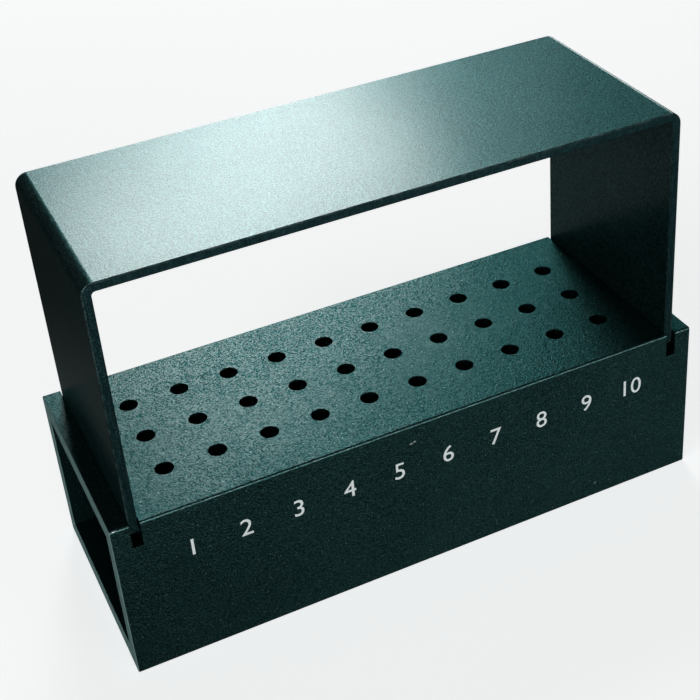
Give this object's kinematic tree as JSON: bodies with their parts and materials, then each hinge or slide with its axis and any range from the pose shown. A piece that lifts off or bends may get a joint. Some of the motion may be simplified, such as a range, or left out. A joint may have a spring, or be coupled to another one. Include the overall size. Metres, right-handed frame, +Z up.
{
  "type": "dental bur block",
  "caption": "Dental bur block: a drilled, open-ended rectangular metal tube with a bent sheet cover standing in two saw slots.",
  "frame": {"origin": "middle of the footprint, on the surface that the block stands on", "axes": "+X along the block, +Z up, -Y towards the user"},
  "size_m": [0.082, 0.031, 0.0561],
  "materials": {
    "block_anodised": "dark anodised, fine blasted grain",
    "cover_anodised": "dark anodised, fine blasted grain"
  },
  "bodies": {
    "block": {"block": "block_anodised"},
    "cover": {"cover": "cover_anodised"}
  },
  "joints": [
    {"name": "cover_lift", "type": "slide", "parent": "block", "child": "cover", "axis": [0, 0, 1], "range_m": [-0.0015, 0.03]}
  ]
}
